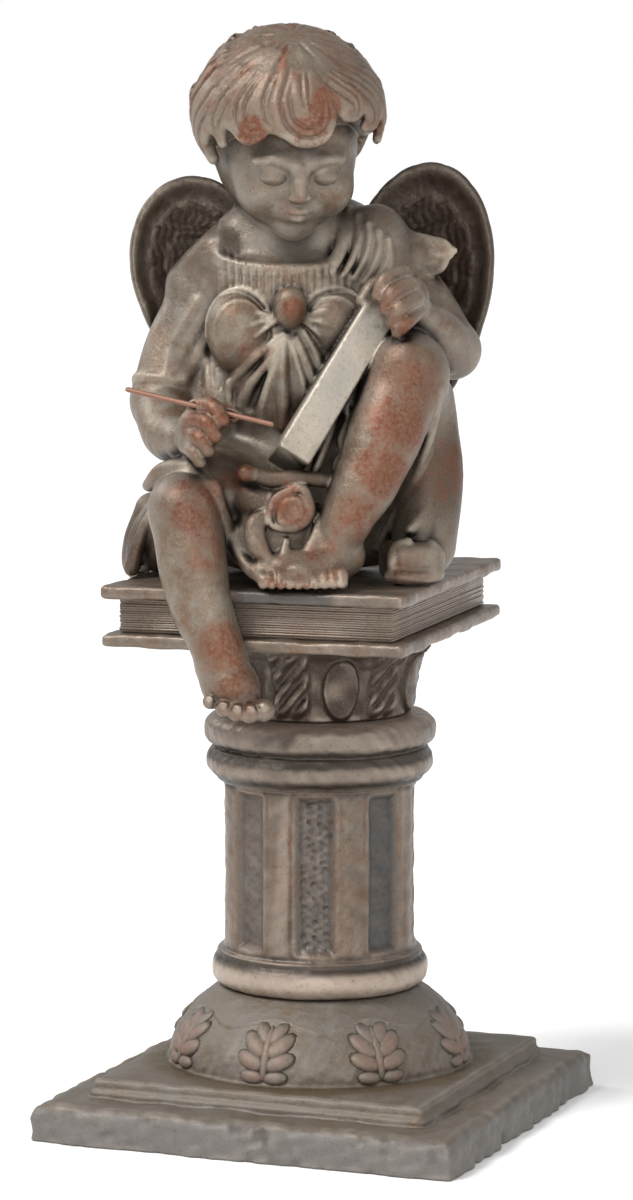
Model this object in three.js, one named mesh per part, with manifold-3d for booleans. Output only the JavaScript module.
// Cast iron angel seated on a book-topped column, writing on a tablet.
// Millimetres, +Z up, origin at the centre of the plinth's underside, front towards -Y.
import * as THREE from "three";
import { mergeVertices } from "three/addons/utils/BufferGeometryUtils.js";
import Module from "manifold-3d";

const wasm = await Module();
wasm.setup();
const { Manifold, Mesh: SolidMesh } = wasm;

// Plinth and bell foot
const plinthWidth = 195;
const plinthTaper = 3;
const plinthHeight = 17;
const plinthEdge = 2;
const tierWidth = 151;
const tierFlare = 4;
const tierHeight = 9;
const footRadius = 66;
const footTopRadius = 44;
const footHeight = 32.5;
const leafCount = 8;
const footLeafRise = 2.6;
const footLeafHeight = 20;
const collarRise = 0.9;
const collarDip = 4;
const pieceGap = 0.4;

// Column
const shaftRadius = 42.8;
const fluteCount = 8;
const columnSides = 48;
const fluteDepth = 3.4;
const fluteTurn = 18.75;
const fluteHalfAngle = 14;
const fluteEndHeight = 5;
const lowerRingHeight = 15;
const shaftHeight = 76.5;
const middleRingHeight = 13.5;
const upperRingHeight = 14.5;
const lowerRingRise = 4.2;
const middleRingRise = 6.4;
const upperRingRise = 7.6;

// Capital and the closed book on it
const capitalRadius = 39.5;
const capitalTopRadius = 51;
const capitalHeight = 34;
const capitalLeafCount = 12;
const capitalLeafRise = 2.4;
const capitalLeafHalfAngle = 11;
const bookWidth = 134;
const bookDepth = 156;
const bookTurn = 4;
const bookShiftX = -5.5;
const bookShiftY = -2;
const coverThickness = 6.5;
const pagesThickness = 14;
const pagesInset = 7;
const coverEdge = 2;
const coverCorner = 3;

// Seated figure: its height above the book sets every length of the body
const figureHeight = 234;
const figureTurn = 21.6;
const headTurn = 9;
const headBow = 25;
const tabletThickness = 12;
const tabletDepth = 34;
const wingThickness = 6;
const footReach = 60;

// Pen
const penRadius = 1.1;
const penGap = 0.35;

const footBase = plinthHeight + tierHeight;
const columnBase = footBase + footHeight + pieceGap;
const columnHeight = lowerRingHeight + shaftHeight + middleRingHeight + upperRingHeight;
const capitalBase = columnBase + columnHeight + pieceGap;
const bookBase = capitalBase + capitalHeight;
const bookTop = bookBase + 2 * coverThickness + pagesThickness;
const seat = bookTop + pieceGap;
const degrees = Math.PI / 180;
const roundedSides = 8;
const modelledHeight = 234;
const figureScale = figureHeight / modelledHeight;

function clamp01(value) {
  return Math.min(1, Math.max(0, value));
}

function ease(value) {
  const t = clamp01(value);
  return t * t * (3 - 2 * t);
}

// Signed angle from the middle of the nearest of several equal sectors, in degrees
function sectorAngle(angle, count, offset = 0) {
  const sector = 360 / count;
  const a = angle - offset;
  return a - sector * Math.round(a / sector);
}

function moved(geometry, change) {
  const position = geometry.getAttribute("position");
  const point = new THREE.Vector3();
  for (let i = 0; i < position.count; i += 1) {
    point.fromBufferAttribute(position, i);
    change(point);
    position.setXYZ(i, point.x, point.y, point.z);
  }
  return geometry;
}

function signedVolume(geometry) {
  const position = geometry.getAttribute("position");
  const index = geometry.getIndex();
  const corners = [new THREE.Vector3(), new THREE.Vector3(), new THREE.Vector3()];
  let total = 0;
  for (let i = 0; i < index.count; i += 3) {
    corners.forEach((corner, k) => corner.fromBufferAttribute(position, index.getX(i + k)));
    total += corners[0].dot(corners[1].clone().cross(corners[2])) / 6;
  }
  return total;
}

// Welds a closed geometry and hands it over as a solid facing outwards
function solid(geometry) {
  const bare = new THREE.BufferGeometry();
  bare.setAttribute("position", geometry.getAttribute("position").clone());
  if (geometry.getIndex()) {
    bare.setIndex(geometry.getIndex().clone());
  }
  const welded = mergeVertices(bare, 1e-3);
  const index = welded.getIndex();
  const kept = [];
  for (let i = 0; i < index.count; i += 3) {
    const [a, b, c] = [index.getX(i), index.getX(i + 1), index.getX(i + 2)];
    if (a !== b && b !== c && c !== a) {
      kept.push(a, b, c);
    }
  }
  welded.setIndex(kept);
  if (signedVolume(welded) < 0) {
    for (let i = 0; i < kept.length; i += 3) {
      [kept[i + 1], kept[i + 2]] = [kept[i + 2], kept[i + 1]];
    }
    welded.setIndex(kept);
  }
  return new Manifold(new SolidMesh({
    numProp: 3,
    vertProperties: new Float32Array(welded.getAttribute("position").array),
    triVerts: new Uint32Array(welded.getIndex().array),
  }));
}

function fused(solids) {
  return solids.reduce((whole, next) => whole.add(next));
}

function node(name, shape, color) {
  const made = shape.getMesh();
  const geometry = new THREE.BufferGeometry();
  geometry.setAttribute("position", new THREE.BufferAttribute(new Float32Array(made.vertProperties), 3));
  geometry.setIndex(new THREE.BufferAttribute(new Uint32Array(made.triVerts), 1));
  geometry.computeVertexNormals();
  const material = new THREE.MeshStandardMaterial({ color, metalness: 0.6, roughness: 0.55 });
  const mesh = new THREE.Mesh(geometry, material);
  mesh.name = name;
  return mesh;
}

// Body of revolution about Z from [radius, height] pairs; relief(angle, z) is added to the radius,
// with the angle counted in degrees from the front (-Y) towards +X
function turned(profile, segments, relief = () => 0) {
  const points = profile.map(([radius, z]) => new THREE.Vector2(radius, z));
  const geometry = new THREE.LatheGeometry(points, segments);
  geometry.rotateX(Math.PI / 2);
  moved(geometry, (p) => {
    const radius = Math.hypot(p.x, p.y);
    if (radius < 1e-6) {
      return;
    }
    const grown = 1 + relief(Math.atan2(p.x, -p.y) / degrees, p.z) / radius;
    p.x *= grown;
    p.y *= grown;
  });
  return solid(geometry);
}

// Square block from [width, height] pairs
function squareBlock(profile) {
  const points = profile.map(([width, z]) => new THREE.Vector2(width / Math.SQRT2, z));
  const geometry = new THREE.LatheGeometry(points, 4);
  geometry.rotateX(Math.PI / 2);
  geometry.rotateZ(Math.PI / 4);
  return solid(geometry);
}

// Flat board with rounded corners and rounded edges, lying on the height given
function board(width, depth, thickness, corner, edge, z) {
  const x = width / 2 - edge;
  const y = depth / 2 - edge;
  const shape = new THREE.Shape();
  shape.moveTo(-x + corner, -y);
  shape.lineTo(x - corner, -y);
  shape.quadraticCurveTo(x, -y, x, -y + corner);
  shape.lineTo(x, y - corner);
  shape.quadraticCurveTo(x, y, x - corner, y);
  shape.lineTo(-x + corner, y);
  shape.quadraticCurveTo(-x, y, -x, y - corner);
  shape.lineTo(-x, -y + corner);
  shape.quadraticCurveTo(-x, -y, -x + corner, -y);
  const geometry = new THREE.ExtrudeGeometry(shape, {
    depth: thickness - 2 * edge,
    bevelEnabled: edge > 0,
    bevelThickness: edge,
    bevelSize: edge,
    bevelSegments: 1,
    curveSegments: 2,
  });
  geometry.translate(0, 0, z + edge);
  return solid(geometry);
}

// Ellipsoid with its own turn (degrees about X, Y, Z)
function ball(centre, radii, turn = [0, 0, 0], sides = 12, rows = 8) {
  const geometry = new THREE.SphereGeometry(1, sides, rows);
  geometry.rotateX(Math.PI / 2);
  geometry.scale(...radii);
  const order = new THREE.Euler(...turn.map((a) => a * degrees), "ZYX");
  geometry.applyMatrix4(new THREE.Matrix4().makeRotationFromEuler(order));
  geometry.translate(...centre);
  return solid(geometry);
}

// Round-ended strand through joints [x, y, z, radius, flatness]; the flat side faces `side`
function strand(joints, sides = 10, rowsPerSpan = 2, side = [0, -1, 0]) {
  const curve = new THREE.CatmullRomCurve3(
    joints.map((j) => new THREE.Vector3(j[0], j[1], j[2])), false, "centripetal");
  const spans = joints.length - 1;
  const rows = [];
  for (let i = 0; i <= spans * rowsPerSpan; i += 1) {
    const t = i / (spans * rowsPerSpan);
    const j = Math.min(Math.floor(t * spans), spans - 1);
    const f = ease(t * spans - j);
    rows.push({
      centre: curve.getPoint(t),
      along: curve.getTangent(t),
      radius: joints[j][3] * (1 - f) + joints[j + 1][3] * f,
      flat: (joints[j][4] ?? 1) * (1 - f) + (joints[j + 1][4] ?? 1) * f,
    });
  }
  const capShare = Math.SQRT1_2;
  const capped = (row, sign, reach) => ({
    ...row,
    centre: row.centre.clone().addScaledVector(row.along, sign * row.radius * row.flat * reach),
    radius: reach === 1 ? 0 : row.radius * capShare,
  });
  const first = rows[0];
  const last = rows[rows.length - 1];
  const rounded = sides >= roundedSides;
  const all = [
    capped(first, -1, 1),
    ...(rounded ? [capped(first, -1, capShare)] : []),
    ...rows,
    ...(rounded ? [capped(last, 1, capShare)] : []),
    capped(last, 1, 1),
  ];
  const geometry = new THREE.LatheGeometry(all.map((row, i) => new THREE.Vector2(row.radius, i)), sides);
  const toSide = new THREE.Vector3(...side);
  moved(geometry, (p) => {
    const row = all[Math.round(p.y)];
    const across = toSide.clone().cross(row.along).normalize();
    const out = row.along.clone().cross(across).normalize();
    const place = row.centre.clone()
      .addScaledVector(across, p.x)
      .addScaledVector(out, p.z * row.flat);
    p.copy(place);
  });
  return solid(geometry);
}

// Plinth with a stepped tier and the bell-shaped foot with its palmettes and scalloped collar
function base() {
  const bottomWidth = plinthWidth;
  const topWidth = plinthWidth - plinthTaper;
  const slab = squareBlock([
    [0, 0],
    [bottomWidth - plinthEdge, 0],
    [bottomWidth, plinthEdge],
    [topWidth, plinthHeight - plinthEdge],
    [topWidth - plinthEdge, plinthHeight],
    [0, plinthHeight],
  ]);
  const tierStep = tierHeight * 0.45;
  const tier = squareBlock([
    [0, plinthHeight - 1],
    [tierWidth + tierFlare, plinthHeight - 1],
    [tierWidth + tierFlare, plinthHeight + tierStep * 0.7],
    [tierWidth, plinthHeight + tierStep],
    [tierWidth, footBase - 1],
    [tierWidth - 1.5, footBase],
    [0, footBase],
  ]);
  const bellShares = [
    [1, 0.04], [0.995, 0.12], [0.98, 0.24], [0.955, 0.36], [0.92, 0.48],
    [0.87, 0.6], [0.81, 0.72], [0.745, 0.84], [0.69, 0.94],
  ];
  const bell = bellShares.map(([r, h]) => [footRadius * r, footBase + footHeight * h]);
  const leafBottom = footBase + 0.1 * footHeight;
  const collarLine = footBase + 0.68 * footHeight;
  const foot = turned([
    [0, footBase - 2],
    [footRadius, footBase - 2],
    ...bell,
    [footTopRadius, footBase + footHeight],
    [0, footBase + footHeight],
  ], 48, (angle, z) => {
    if (z < footBase || z >= footBase + footHeight) {
      return 0;
    }
    const a = sectorAngle(angle, leafCount);
    const up = (z - leafBottom) / footLeafHeight;
    const halfWidth = 17 - 9 * clamp01(up * up);
    const inLeaf = ease((halfWidth - Math.abs(a)) / 4) * ease(up * 6) * ease((1.05 - up) * 5);
    const lobes = 0.6 + 0.4 * Math.cos((a / 15) * 2 * Math.PI);
    const swag = collarLine + (collarDip * Math.cos(leafCount * angle * degrees)) / 2;
    return footLeafRise * inLeaf * lobes + collarRise * ease((z - swag) / 1.5);
  });
  return fused([slab, tier, foot]);
}

// Half-round ring as [radius, height] pairs standing out from the shaft
function ringProfile(z, height, rise, innerRadius) {
  return [0.12, 0.5, 0.88].map((share) => {
    const bulge = Math.sqrt(Math.sin(share * Math.PI));
    return [innerRadius + rise * bulge, z + height * share];
  });
}

// Fluted shaft between a foot ring and two head rings
function column() {
  const shaftBase = columnBase + lowerRingHeight;
  const shaftTop = shaftBase + shaftHeight;
  const middleTop = shaftTop + middleRingHeight;
  const top = columnBase + columnHeight;
  const ends = [0.4, 1.5].map((share) => share * fluteEndHeight);
  const shaft = [
    ...ends.map((rise) => [shaftRadius, shaftBase + rise]),
    ...ends.reverse().map((rise) => [shaftRadius, shaftTop - rise]),
  ];
  return turned([
    [0, columnBase],
    [shaftRadius + 1, columnBase],
    ...ringProfile(columnBase, lowerRingHeight, lowerRingRise, shaftRadius),
    ...shaft,
    ...ringProfile(shaftTop, middleRingHeight, middleRingRise, shaftRadius),
    ...ringProfile(middleTop, upperRingHeight, upperRingRise, shaftRadius),
    [shaftRadius + 2, top],
    [0, top],
  ], columnSides, (angle, z) => {
    const rise = Math.min(z - shaftBase, shaftTop - z);
    if (rise <= 0) {
      return 0;
    }
    const a = sectorAngle(angle, fluteCount, fluteTurn);
    const across = clamp01(1 - (a / fluteHalfAngle) ** 2);
    return -fluteDepth * Math.sqrt(across) * ease(rise / (1.6 * fluteEndHeight));
  });
}

// Basket capital with curling leaves, carrying a closed book as its abacus
function capitalBook() {
  const shares = [
    [0, 0.05], [0.01, 0.2], [0.04, 0.36], [0.12, 0.52], [0.26, 0.66], [0.48, 0.79], [0.78, 0.9], [1, 0.98],
  ];
  const flare = capitalTopRadius - capitalRadius;
  const bell = turned([
    [0, capitalBase],
    [capitalRadius - 1.5, capitalBase],
    ...shares.map(([r, h]) => [capitalRadius + flare * r, capitalBase + capitalHeight * h]),
    [capitalTopRadius, bookBase + 1],
    [0, bookBase + 1],
  ], 48, (angle, z) => {
    const up = (z - capitalBase) / capitalHeight;
    if (up <= 0.02 || up > 0.95) {
      return 0;
    }
    const a = sectorAngle(angle, capitalLeafCount, bookTurn);
    const leaf = ease((capitalLeafHalfAngle - Math.abs(a)) / 4) * ease(up * 5) * ease((0.95 - up) * 6);
    return capitalLeafRise * leaf;
  });
  const pagesBase = bookBase + coverThickness;
  const cover = (z) => board(bookWidth, bookDepth, coverThickness, coverCorner, coverEdge, z);
  const pages = board(bookWidth - 2 * pagesInset, bookDepth - 2 * pagesInset, pagesThickness + 2,
    1, 0, pagesBase - 1);
  const book = fused([cover(bookBase), pages, cover(pagesBase + pagesThickness)])
    .rotate([0, 0, bookTurn])
    .translate([bookShiftX, bookShiftY, 0]);
  return bell.add(book);
}

const headPlace = [-13, -15, 187];

// Takes points given in the head's own frame (face towards -Y, crown up) to the figure's frame
function headPoint(point) {
  const p = point.clone();
  p.applyAxisAngle(new THREE.Vector3(1, 0, 0), headBow * degrees);
  p.applyAxisAngle(new THREE.Vector3(0, 0, 1), headTurn * degrees);
  return p.add(new THREE.Vector3(...headPlace));
}

function headBall(centre, radii, turn = [0, 0, 0], sides = 12, rows = 8) {
  const geometry = new THREE.SphereGeometry(1, sides, rows);
  geometry.rotateX(Math.PI / 2);
  geometry.scale(...radii);
  const order = new THREE.Euler(...turn.map((a) => a * degrees), "ZYX");
  geometry.applyMatrix4(new THREE.Matrix4().makeRotationFromEuler(order));
  geometry.translate(...centre);
  return solid(moved(geometry, (p) => p.copy(headPoint(p))));
}

// Bobbed hair: a ridged cap cut off along a line rising from nape to fringe
function hairCap() {
  const radii = [40.3, 41, 38];
  const lift = [-0.5, 4, 8.5];
  const geometry = new THREE.SphereGeometry(1, 24, 8);
  geometry.rotateX(Math.PI / 2);
  moved(geometry, (p) => {
    const around = Math.atan2(p.x, -p.y);
    const low = ease((0.75 - p.z) / 0.7);
    const lock = 1 + 0.028 * low * Math.cos(8 * around + 2.5 * p.z);
    const belly = 1 + 0.04 * Math.sin(clamp01(1 - p.z) * Math.PI);
    p.set(
      p.x * radii[0] * lock * belly + lift[0],
      p.y * radii[1] * lock * belly + lift[1],
      p.z * radii[2] + lift[2],
    );
    const rim = Math.max(-24, -12 - 0.75 * p.y) + 2 * Math.cos(8 * around);
    if (p.z < rim) {
      p.z = rim + (p.z - rim) * 0.28;
    }
  });
  return solid(moved(geometry, (p) => p.copy(headPoint(p))));
}

// Curled ends of the locks along the fringe and the sides
function hairCurls() {
  const curls = [
    [-36, -7, -7, 7], [-32, -22, 4, 6.5], [-21, -33, 11, 7], [-7, -38, 15, 6.5], [8, -38.5, 14, 7],
    [21, -33, 10, 6.5], [32, -22, 4, 6.5], [36, -7, -5, 7],
  ];
  return curls.map(([x, y, z, r], i) => (
    headBall([x, y, z + 2], [r, r * 0.8, r * 0.85], [0, 25 * (i % 2), 0], 5, 4)
  ));
}

function head() {
  return [
    headBall([0, 10, -8], [31, 32, 34], [0, 0, 0], 7, 5),
    headBall([0, -6, -6], [27.5, 30, 31], [0, 0, 0], 11, 8),
    headBall([-13, -22.5, -14], [11.5, 11, 11], [0, 0, 0], 7, 5),
    headBall([13, -22.5, -14], [11.5, 11, 11], [0, 0, 0], 7, 5),
    headBall([0, -25, -29], [9, 8.5, 7], [0, 0, 0], 8, 6),
    headBall([0, -35.5, -9], [3.6, 4.6, 6.5], [-12, 0, 0], 7, 5),
    headBall([0, -34.5, -19], [6.6, 3.4, 3], [0, 0, 0], 8, 4),
    headBall([-11, -32.5, -3], [5.8, 3.6, 3.2], [0, 0, 0], 7, 4),
    headBall([11, -32.5, -3], [5.8, 3.6, 3.2], [0, 0, 0], 7, 4),
    hairCap(),
    ...hairCurls(),
  ];
}

// Feathered wing: a hollowed shell with a thick rolled rim, open side forwards
function wing(centre, halfWidth, halfHeight, lean, spread, mirror) {
  const geometry = new THREE.SphereGeometry(1, 20, 6);
  moved(geometry, (p) => {
    const edge = Math.hypot(p.x, p.z);
    const around = Math.atan2(p.z, p.x);
    const tip = 1 + 0.16 * ease(-p.z) - 0.1 * ease(p.z) * ease(-p.x);
    const feather = 1 + 0.02 * Math.cos(14 * around) * ease(edge * 2 - 0.8);
    const back = p.y > 0;
    const bowl = 9 * (1 - edge * edge);
    const rim = (wingThickness / figureScale) * 0.5 * Math.sqrt(clamp01(1 - edge ** 8));
    const ridges = back ? 0 : 0.9 * Math.cos(18 * edge) * clamp01(edge * 3 - 0.6);
    const x = p.x * halfWidth * tip * feather;
    const z = p.z * halfHeight * tip * feather;
    const y = bowl + (back ? rim : -rim * (0.55 + 0.6 * edge ** 4)) + ridges;
    p.set(x * mirror, y, z);
  });
  const order = new THREE.Euler(0, lean * mirror * degrees, spread * mirror * degrees, "ZYX");
  geometry.applyMatrix4(new THREE.Matrix4().makeRotationFromEuler(order));
  geometry.translate(...centre);
  return solid(geometry);
}

function wings() {
  return [
    wing([-52, 20, 130], 31, 40, 12, -12, -1),
    wing([43, 22, 124], 33, 52, 10, -12, 1),
    strand([[-16, 10, 116, 11], [-34, 22, 128, 9], [-50, 29, 138, 5]], 6, 1),
    strand([[4, 10, 116, 11], [22, 22, 126, 9], [40, 31, 136, 5]], 6, 1),
  ];
}

// Gown over chest, belly and lap
function gown() {
  return [
    strand([[-12, 4, 128, 24, 0.9], [-12, 3, 146, 20, 0.95], [-12.5, 0, 168, 17]], 8, 1),
    strand([
      [-44, 4, 122, 15], [-26, 3, 138, 16], [-12, 3, 144, 17], [8, 3, 144, 16], [30, 4, 131, 15],
    ], 8, 2),
    ball([-11.5, 0, 113], [36, 26.5, 30], [0, 0, 0], 11, 7),
    ball([-11, -1, 76], [37, 28, 38], [0, 0, 0], 11, 7),
    ball([-12, 4, 34], [50, 38, 34], [0, 0, 0], 12, 7),
    strand([[-44, -2, 96, 9], [-46, -10, 72, 11], [-50, -14, 50, 11]], 7, 1),
    ball([-34.5, -19.5, 103], [14.5, 12.5, 18], [0, -6, 0], 8, 6),
    ball([6, -18, 106], [14.5, 11, 15], [0, 8, 0], 8, 6),
    ball([-12.5, -27, 114], [6.5, 6, 8.5], [0, 0, 0], 8, 6),
    strand([[-49, -8, 128, 3], [-40, -18, 131, 3.6], [-12, -25, 131, 3.8], [10, -20, 132, 3.6]], 6, 1),
  ];
}

// Folds that fan out from the knot and hang over the lap
function folds() {
  const fan = [
    [-43, -26, 76], [-27, -30, 64], [-15, -32, 62], [0, -30, 70],
  ];
  const knot = [-12.5, -28, 111];
  const fans = fan.map(([x, y, z]) => strand([
    [...knot, 2.2],
    [(x + knot[0]) / 2, (y + knot[1]) / 2 - 1, (z + knot[2]) / 2, 2.8],
    [x, y, z, 2.4],
  ], 5, 1));
  return [
    ...fans,
    strand([[9, -8, 156, 2.6], [12, -14, 140, 3], [8, -22, 124, 2.4]], 5, 1),
    strand([[17, -6, 152, 2.6], [20, -12, 138, 3], [15, -20, 122, 2.4]], 5, 1),
    strand([[-76, -4, 24, 9], [-79, -2, 12, 10.5], [-77, 2, 4, 12]], 7, 1),
    strand([[-50, -22, 40, 12], [-66, -18, 28, 12], [-74, -8, 12, 13]], 7, 1),
    strand([[-70, -44, 38, 7], [-64, -56, 46, 6], [-50, -60, 48, 5]], 6, 1),
    strand([[-40, -56, 42, 6], [-22, -64, 34, 9], [-4, -62, 26, 9]], 7, 1),
    ball([-13, -58, 28], [16, 14, 15], [0, 0, 0], 9, 6),
    strand([
      [-22, -68, 36, 3], [-12, -71, 42, 3], [-4, -69, 36, 3], [-8, -71, 27, 3], [-16, -71, 28, 2.6],
    ], 5, 1),
    ball([-21, -58, 16], [21, 15, 15], [0, 0, 0], 9, 6),
    strand([[-36, -66, 20, 3], [-30, -72, 8, 4], [-16, -72, 5, 4]], 6, 1),
    strand([[43, -26, 72, 13], [46, -29, 42, 14], [44, -29, 13, 14]], 7, 1),
    ball([37, -42, 9.5], [12.5, 13, 9], [0, 0, 0], 10, 6),
    strand([[46, -44, 80, 3], [42, -52, 58, 3.2], [34, -58, 36, 3], [30, -56, 16, 3]], 5, 1),
    strand([[16, -56, 78, 3], [12, -62, 56, 3], [4, -68, 34, 3]], 5, 1),
    strand([[24, 30, 20, 10], [-10, 36, 16, 12], [-50, 26, 16, 11]], 7, 1),
  ];
}

// Fingers curled from the palm, each through three joints
function fingers(list, radius) {
  return list.map((joints) => strand(joints.map((j) => [...j, radius]), 5, 1));
}

function arms() {
  return [
    strand([[-46, 4, 122, 15.5], [-60, 0, 98, 14.5], [-67, -7, 74, 14.5]], 8, 2),
    strand([[-67, -7, 73, 14.5], [-64, -28, 62, 12.5], [-57, -50, 58, 9]], 8, 2),
    ball([-51, -59, 64], [10.5, 9, 12], [0, 20, 0], 8, 6),
    ...fingers([
      [[-50, -60, 75], [-43, -71, 77], [-38, -73, 70]],
      [[-52, -62, 70], [-46, -73, 70], [-42, -74, 63]],
      [[-54, -62, 64], [-49, -73, 62], [-46, -72, 56]],
      [[-56, -60, 58], [-52, -71, 55], [-50, -69, 49]],
      [[-46, -54, 72], [-39, -62, 73], [-35, -69, 72]],
    ], 3),
    strand([[30, 4, 130, 15], [44, 2, 114, 13.5], [56, -4, 96, 12.5]], 8, 2),
    strand([[36, 6, 138, 7, 0.5], [46, 4, 134, 8, 0.5], [53, 2, 128, 7, 0.5]], 6, 1),
    strand([[57, -5, 95, 12.5], [51, -22, 103, 11], [42, -38, 112, 8.5]], 8, 2),
    ball([35, -47, 120], [9.5, 8.5, 10], [0, 30, 0], 8, 6),
    ...fingers([
      [[33, -48, 130], [26, -56, 127], [24, -58, 120]],
      [[36, -52, 126], [29, -60, 122], [26, -60, 115]],
      [[38, -54, 121], [32, -62, 116], [29, -61, 110]],
      [[40, -53, 115], [35, -62, 110], [31, -60, 105]],
      [[30, -44, 126], [22, -46, 124], [18, -50, 118]],
    ], 3),
  ];
}

// Row of five toes across the end of a foot, largest at the start
function toes(start, end, radius, reach) {
  const geometry = new THREE.SphereGeometry(1, 5, 16);
  const from = new THREE.Vector3(...start);
  const span = new THREE.Vector3(...end).sub(from);
  const lobes = 5;
  const pointed = 0.001;
  moved(geometry, (p) => {
    const share = Math.acos(-p.y) / Math.PI;
    const lobe = 0.72 + 0.28 * Math.abs(Math.sin(share * lobes * Math.PI));
    const taper = (1 - 0.45 * share) * Math.min(1, 4 * share + pointed, 4 * (1 - share) + pointed);
    const flat = Math.hypot(p.x, p.z) || 1;
    const size = radius * lobe * taper;
    const place = from.clone().addScaledVector(span, share);
    p.set(place.x + (p.x / flat) * size * 0.3, place.y + (p.z / flat) * size * reach,
      place.z + (p.x / flat) * size);
  });
  return [solid(geometry)];
}

function legs() {
  return [
    strand([[-30, -4, 30, 25], [-46, -36, 36, 21], [-56, -61, 33, 16.5]], 8, 1),
    strand([[-56, -61, 32, 16], [-52, -69.5, 6, 13.8], [-46, -73.5, -12, 11.5], [-41.5, -74, -28, 10]], 8, 2),
    strand([[-41.5, -73, -32, 10.5, 0.95], [-37, -77, -42, 11.5, 0.7], [-34, -80, -47, 10.5, 0.5]], 8, 1),
    ...toes([-21, -84, -50], [-48, -81, -45], 5, 1.2),
    strand([[26, 0, 28, 25], [34, -26, 64, 21], [36, -48, 88, 18]], 8, 1),
    strand([[36, -48, 88, 18], [25, -60, 56, 15.5], [13, -66, 32, 11.5], [6, -66, 19, 10]], 8, 2),
    strand([[8, -62, 14, 10, 0.9], [-1, -70, 9.5, 11, 0.7], [-9, -76, 6.5, 11, 0.5]], 8, 1),
    ...toes([8, -80, 5.5], [-23, -77, 5], 5, 1.2),
  ];
}

// Tablet held edge-on, from the raised hand down to the lap
function tablet() {
  const top = new THREE.Vector3(26.4, -50, 119);
  const bottom = new THREE.Vector3(-12, -74, 57);
  const along = bottom.clone().sub(top);
  const length = along.length();
  along.normalize();
  const across = new THREE.Vector3(0.85, 0, -0.53);
  across.addScaledVector(along, -across.dot(along)).normalize();
  const inward = across.clone().cross(along).normalize();
  if (inward.y < 0) {
    inward.negate();
  }
  const thickness = tabletThickness / figureScale;
  const depth = tabletDepth / figureScale;
  const geometry = new THREE.BoxGeometry(length, thickness, depth);
  const middle = top.clone().add(bottom).multiplyScalar(0.5).addScaledVector(inward, depth / 2);
  geometry.applyMatrix4(new THREE.Matrix4().makeBasis(along, across, inward).setPosition(middle));
  return solid(geometry);
}

// Turns and scales the figure's own frame onto the book
function seated(shape) {
  return shape.scale([figureScale, figureScale, figureScale])
    .rotate([0, 0, figureTurn])
    .translate([0, 0, seat]);
}

function bookClearance() {
  const grown = (size) => size + 2 * pieceGap;
  const height = footReach + pieceGap;
  const box = new THREE.BoxGeometry(grown(bookWidth), grown(bookDepth), height);
  box.translate(0, 0, seat - height / 2);
  return solid(box).rotate([0, 0, bookTurn]).translate([bookShiftX, bookShiftY, 0]);
}

const penStart = [-80.5, -56, 82];
const penEnd = [-20, -76, 69];

function penShape(radius) {
  const r = radius / figureScale;
  return strand([[...penStart, r], [...penEnd, r]], 8, 1);
}

function angel() {
  const figure = fused([
    ...gown(), ...head(), ...wings(), ...arms(), ...legs(), ...folds(), tablet(),
  ]);
  return seated(figure.subtract(penShape(penRadius + penGap))).subtract(bookClearance());
}

const cast = 0x77695c;
const part = new THREE.Group();
part.name = "cast_iron_angel_statue";
part.add(node("base", base(), 0x7a7068));
part.add(node("column", column(), 0x74685d));
part.add(node("capital_book", capitalBook(), cast));
part.add(node("angel", angel(), 0x7d6a59));
part.add(node("pen", seated(penShape(penRadius)), 0xb06e58));

export default part;
